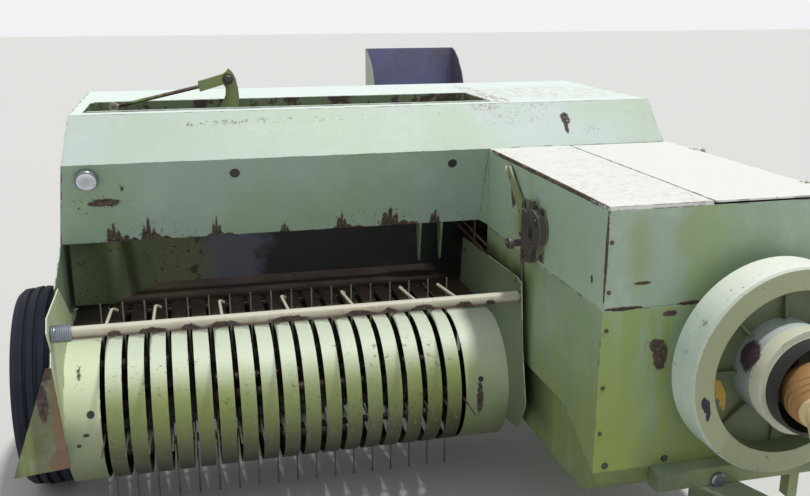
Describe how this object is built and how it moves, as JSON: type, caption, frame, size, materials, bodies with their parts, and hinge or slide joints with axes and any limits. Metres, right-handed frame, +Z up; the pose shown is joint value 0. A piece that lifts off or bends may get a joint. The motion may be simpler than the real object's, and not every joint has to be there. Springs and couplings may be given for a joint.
{
  "type": "square baler",
  "caption": "Towed square hay baler with a side pickup, a cross feeder, a knotter-topped bale chamber, a flywheel drive and a swinging drawbar.",
  "frame": {"origin": "middle of the whole machine's footprint, on the ground", "axes": "-Y is the way it is towed, +Y runs back along the bale chamber, -X is the side with the pickup, +Z is up"},
  "size_m": [2.608, 5.05, 1.483],
  "materials": {
    "cream_plastic": "faded",
    "greasy_iron": "oily, dark",
    "lamp": "ribbed lens",
    "paint_cream": "faded, rust spots",
    "paint_dark": "dull, dirty",
    "paint_green": "weathered, semi-matt",
    "paint_pale": "bleached, chalky",
    "rusty_steel": "brown rust",
    "tyre": "aged rubber",
    "worn_steel": "polished by crop, light rust"
  },
  "bodies": {
    "chassis": {"housing_front": "paint_green", "housing_side_right": "paint_green", "housing_side_left": "paint_green", "housing_rear": "paint_green", "housing_top": "paint_pale", "housing_belly": "paint_dark", "gearbox": "greasy_iron", "plunger": "worn_steel", "front_underframe": "paint_dark", "axle": "paint_dark", "feeder_front": "paint_pale", "lamp": "lamp", "feeder_top": "paint_pale", "feeder_end": "paint_green", "feeder_inner_end": "paint_green", "feeder_rear": "paint_green", "feeder_deck": "worn_steel", "throat_wall": "worn_steel", "feeder_forks": "paint_dark", "chamber_floor": "paint_dark", "chamber_right": "paint_green", "chamber_left": "paint_green", "chamber_roof": "paint_green", "knotter_frame": "paint_dark", "hood_hinge": "paint_dark", "twine_box": "paint_green", "tension_frame": "paint_dark", "rocker_bracket": "paint_dark", "lift_gear": "greasy_iron"},
    "service_lid": {"service_lid": "paint_pale"},
    "flywheel": {"flywheel": "paint_pale", "flywheel_drum": "paint_pale", "drive_stub": "greasy_iron"},
    "drawbar": {"drawbar": "paint_dark", "drawbar_stand": "paint_dark", "jack": "worn_steel"},
    "driveline": {"driveline": "cream_plastic"},
    "wheel_right": {"wheel_right_tyre": "tyre", "wheel_right_rim": "paint_pale"},
    "wheel_left": {"wheel_left_tyre": "tyre", "wheel_left_rim": "paint_pale"},
    "pickup": {"pickup_frame": "paint_green", "pickup_bands": "paint_green", "crop_divider": "paint_green"},
    "reel": {"reel": "rusty_steel", "reel_tines": "rusty_steel"},
    "wind_guard": {"wind_guard": "paint_cream", "guard_fingers": "paint_cream"},
    "star_wheel": {"star_wheel": "rusty_steel"},
    "needle_yoke": {"needle_yoke": "rusty_steel"},
    "knotter_hood": {"knotter_hood": "paint_green"},
    "twine_lid": {"twine_lid": "paint_green"},
    "chute": {"chute": "worn_steel"},
    "rocker_arm": {"rocker_arm": "paint_green"},
    "link_rod": {"link_rod": "worn_steel"}
  },
  "joints": [
    {"name": "wheel_right_spin", "type": "hinge", "parent": "chassis", "child": "wheel_right", "pos_m": [-1.214, 0.13, 0.364], "axis": [1, 0, 0], "continuous": true},
    {"name": "wheel_left_spin", "type": "hinge", "parent": "chassis", "child": "wheel_left", "pos_m": [1.213, 0.13, 0.364], "axis": [1, 0, 0], "continuous": true},
    {"name": "flywheel_spin", "type": "hinge", "parent": "chassis", "child": "flywheel", "pos_m": [0.875, -1.071, 0.771], "axis": [0, 1, 0], "continuous": true},
    {"name": "drawbar_swing", "type": "hinge", "parent": "chassis", "child": "drawbar", "pos_m": [0.875, -1.336, 0.296], "axis": [0, 0, 1], "range_deg": [0, 30]},
    {"name": "driveline_tilt", "type": "hinge", "parent": "drawbar", "child": "driveline", "pos_m": [0.875, -1.336, 0.771], "axis": [-0.8829, 0.4695, 0], "range_deg": [0, 25]},
    {"name": "pickup_lift", "type": "hinge", "parent": "chassis", "child": "pickup", "pos_m": [-0.352, 0.129, 0.615], "axis": [-1, 0, 0], "range_deg": [-3, 18]},
    {"name": "reel_spin", "type": "hinge", "parent": "pickup", "child": "reel", "pos_m": [-0.352, -0.214, 0.405], "axis": [1, 0, 0], "continuous": true},
    {"name": "wind_guard_tilt", "type": "hinge", "parent": "pickup", "child": "wind_guard", "pos_m": [-0.352, -0.52, 0.791], "axis": [1, 0, 0], "range_deg": [0, 30]},
    {"name": "service_lid_open", "type": "hinge", "parent": "chassis", "child": "service_lid", "pos_m": [1.118, -0.591, 1.214], "axis": [0, 1, 0], "range_deg": [0, 92]},
    {"name": "star_wheel_spin", "type": "hinge", "parent": "chassis", "child": "star_wheel", "pos_m": [0.748, 1.629, 1.05], "axis": [1, 0, 0], "continuous": true},
    {"name": "needle_yoke_swing", "type": "hinge", "parent": "chassis", "child": "needle_yoke", "pos_m": [0.748, 0.569, 0.7], "axis": [1, 0, 0], "range_deg": [0, 49]},
    {"name": "knotter_hood_open", "type": "hinge", "parent": "chassis", "child": "knotter_hood", "pos_m": [0.748, 1.211, 0.97], "axis": [-1, 0, 0], "range_deg": [0, 60]},
    {"name": "twine_lid_open", "type": "hinge", "parent": "chassis", "child": "twine_lid", "pos_m": [1.051, 1.004, 1.008], "axis": [0, -1, 0], "range_deg": [0, 92]},
    {"name": "chute_fold", "type": "hinge", "parent": "chassis", "child": "chute", "pos_m": [0.748, 2.509, 0.575], "axis": [-1, 0, 0], "range_deg": [0, 95]},
    {"name": "rocker_swing", "type": "hinge", "parent": "chassis", "child": "rocker_arm", "pos_m": [-0.514, 0.373, 1.25], "axis": [0, 1, 0], "range_deg": [-8, 8]},
    {"name": "link_pivot", "type": "hinge", "parent": "rocker_arm", "child": "link_rod", "pos_m": [-0.504, 0.346, 1.448], "axis": [0, 1, 0], "range_deg": [-8, 8]}
  ],
  "couplings": [
    {"joint": "link_pivot", "follows": "rocker_swing", "ratio": -1}
  ]
}
